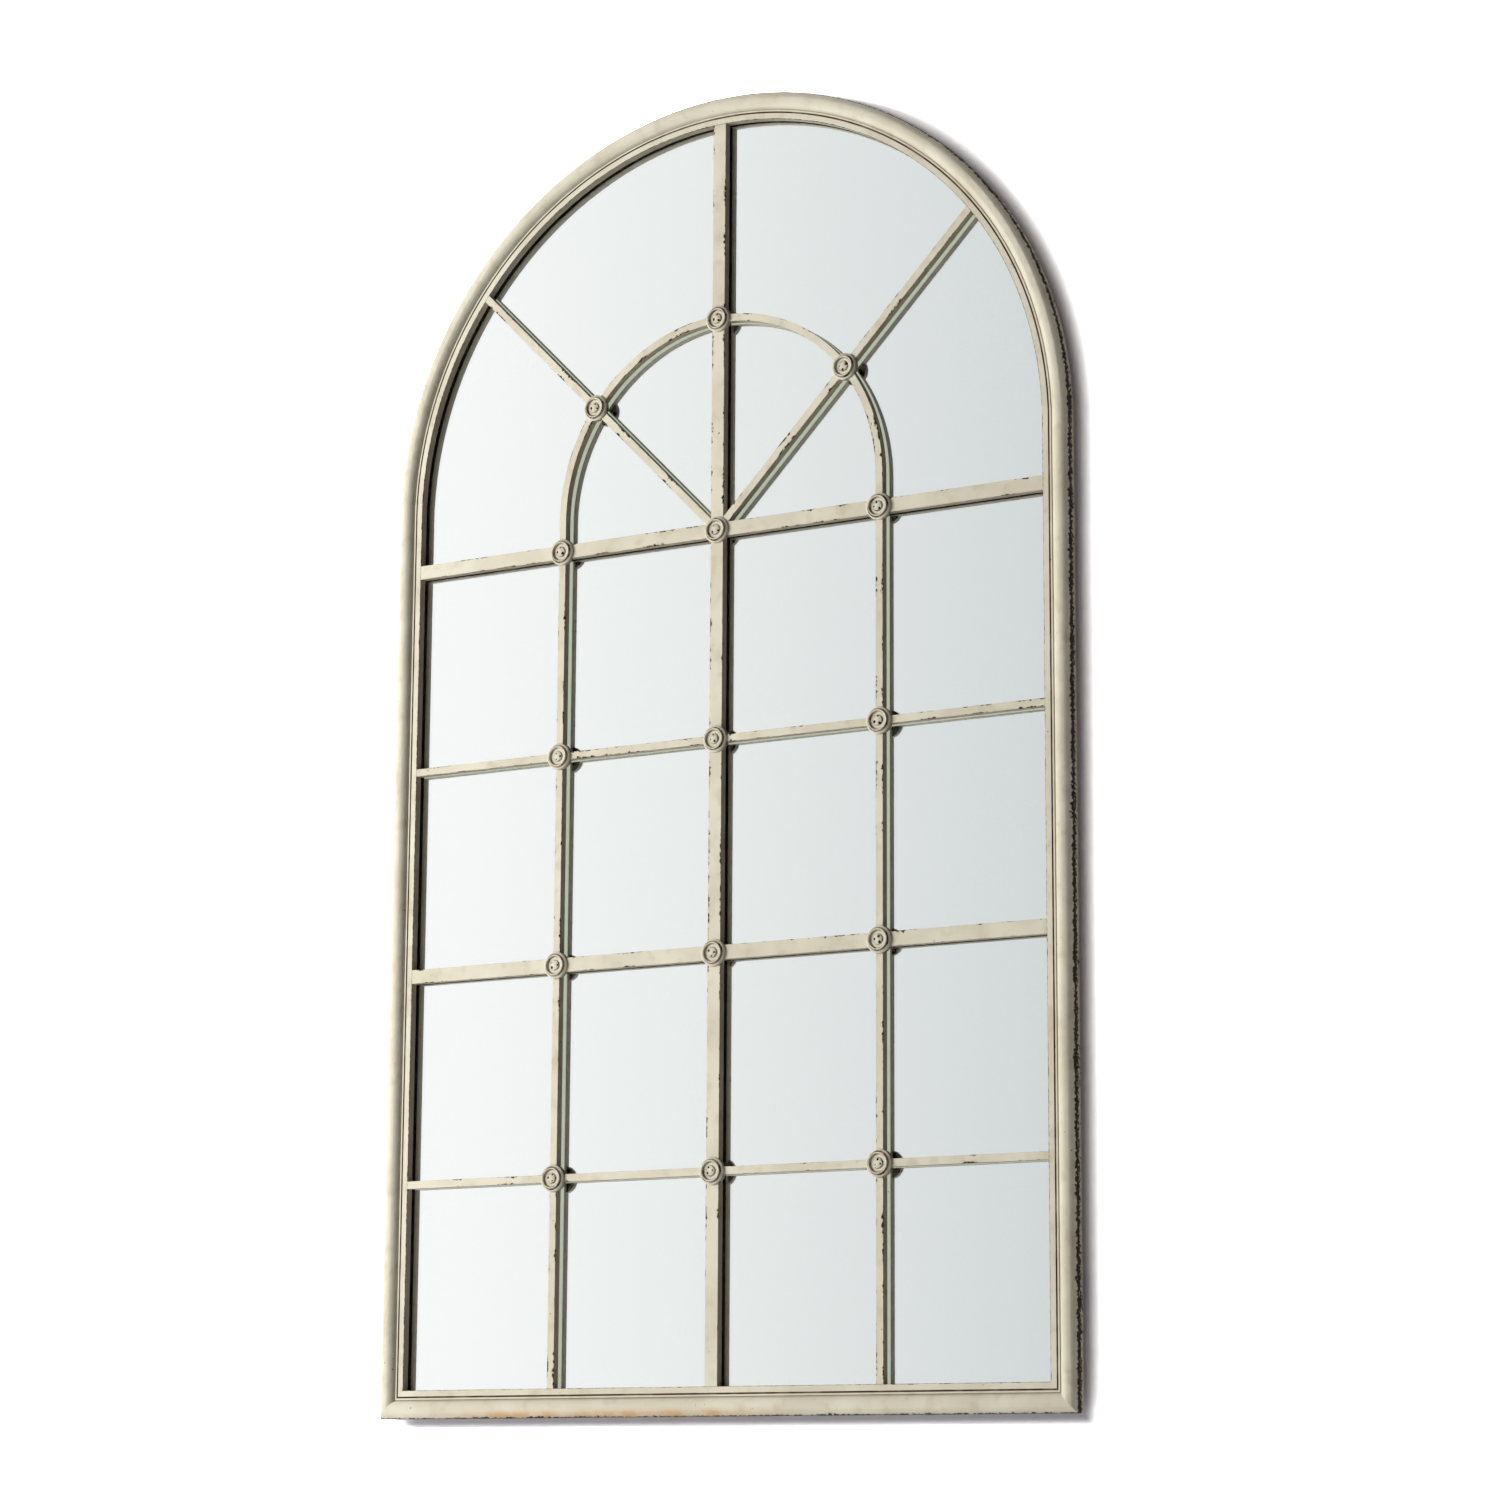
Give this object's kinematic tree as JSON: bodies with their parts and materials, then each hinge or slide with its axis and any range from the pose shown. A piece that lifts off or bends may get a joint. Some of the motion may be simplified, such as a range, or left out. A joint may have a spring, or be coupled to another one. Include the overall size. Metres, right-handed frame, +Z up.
{
  "type": "arched window mirror",
  "caption": "Arched metal window-frame mirror with glazing bars, an inner arch with rays, round bosses at the crossings, and hanging rings behind.",
  "frame": {"origin": "middle of the width and of the depth, at the foot of the bottom rail", "axes": "+Z up along the height, +X to the viewer's right, +Y back towards the wall"},
  "size_m": [0.83, 0.032, 1.3999],
  "materials": {
    "distressed_cream_paint": "satin cream paint, chipped to dark iron along the edges",
    "boss_cream_paint": "satin cream paint on castings, worn on the rings",
    "clear_glass": "clear, polished",
    "silvering": "silvered",
    "cushion_tape": "black felt tape",
    "backing_board": "raw fibreboard",
    "black_steel": "satin black",
    "zinc_steel": "zinc plated",
    "bumper_rubber": "matt"
  },
  "bodies": {
    "mirror": {"frame_arch": "distressed_cream_paint", "frame_stile_left": "distressed_cream_paint", "frame_stile_right": "distressed_cream_paint", "frame_bottom_rail": "distressed_cream_paint", "centre_bar": "distressed_cream_paint", "left_bar": "distressed_cream_paint", "right_bar": "distressed_cream_paint", "springline_bar": "distressed_cream_paint", "upper_cross_bar": "distressed_cream_paint", "middle_cross_bar": "distressed_cream_paint", "lower_cross_bar": "distressed_cream_paint", "inner_arch": "distressed_cream_paint", "left_ray": "distressed_cream_paint", "right_ray": "distressed_cream_paint", "left_bar_bosses": "boss_cream_paint", "centre_bar_bosses": "boss_cream_paint", "right_bar_bosses": "boss_cream_paint", "ray_bosses": "boss_cream_paint", "rim_tape": "cushion_tape", "bar_tape": "cushion_tape", "mirror_glass": "clear_glass", "mirror_silvering": "silvering", "backing_board": "backing_board", "retaining_band": "black_steel", "button_lugs": "black_steel", "bumper_lugs": "black_steel", "hanger_lugs": "black_steel", "button_studs": "zinc_steel", "hanger_loops": "zinc_steel", "wall_bumpers": "bumper_rubber"},
    "hanger_ring_left": {"hanger_ring_left": "zinc_steel"},
    "hanger_ring_right": {"hanger_ring_right": "zinc_steel"},
    "turn_button_1": {"turn_button_1": "zinc_steel"},
    "turn_button_2": {"turn_button_2": "zinc_steel"},
    "turn_button_3": {"turn_button_3": "zinc_steel"},
    "turn_button_4": {"turn_button_4": "zinc_steel"},
    "turn_button_5": {"turn_button_5": "zinc_steel"},
    "turn_button_6": {"turn_button_6": "zinc_steel"}
  },
  "joints": [
    {"name": "turn_button_1_turn", "type": "hinge", "parent": "mirror", "child": "turn_button_1", "pos_m": [-0.4025, 0.009, 0.22], "axis": [0, 1, 0], "continuous": true},
    {"name": "turn_button_2_turn", "type": "hinge", "parent": "mirror", "child": "turn_button_2", "pos_m": [-0.4025, 0.009, 0.65], "axis": [0, 1, 0], "continuous": true},
    {"name": "turn_button_3_turn", "type": "hinge", "parent": "mirror", "child": "turn_button_3", "pos_m": [-0.28461, 0.009, 1.26961], "axis": [0, 1, 0], "continuous": true},
    {"name": "turn_button_4_turn", "type": "hinge", "parent": "mirror", "child": "turn_button_4", "pos_m": [0.4025, 0.009, 0.22], "axis": [0, 1, 0], "continuous": true},
    {"name": "turn_button_5_turn", "type": "hinge", "parent": "mirror", "child": "turn_button_5", "pos_m": [0.4025, 0.009, 0.65], "axis": [0, 1, 0], "continuous": true},
    {"name": "turn_button_6_turn", "type": "hinge", "parent": "mirror", "child": "turn_button_6", "pos_m": [0.28461, 0.009, 1.26961], "axis": [0, 1, 0], "continuous": true},
    {"name": "hanger_ring_left_swing", "type": "hinge", "parent": "mirror", "child": "hanger_ring_left", "pos_m": [-0.3985, 0.01208, 0.93], "axis": [1, 0, 0], "range_deg": [0, 180]},
    {"name": "hanger_ring_right_swing", "type": "hinge", "parent": "mirror", "child": "hanger_ring_right", "pos_m": [0.3985, 0.01208, 0.93], "axis": [1, 0, 0], "range_deg": [0, 180]}
  ]
}
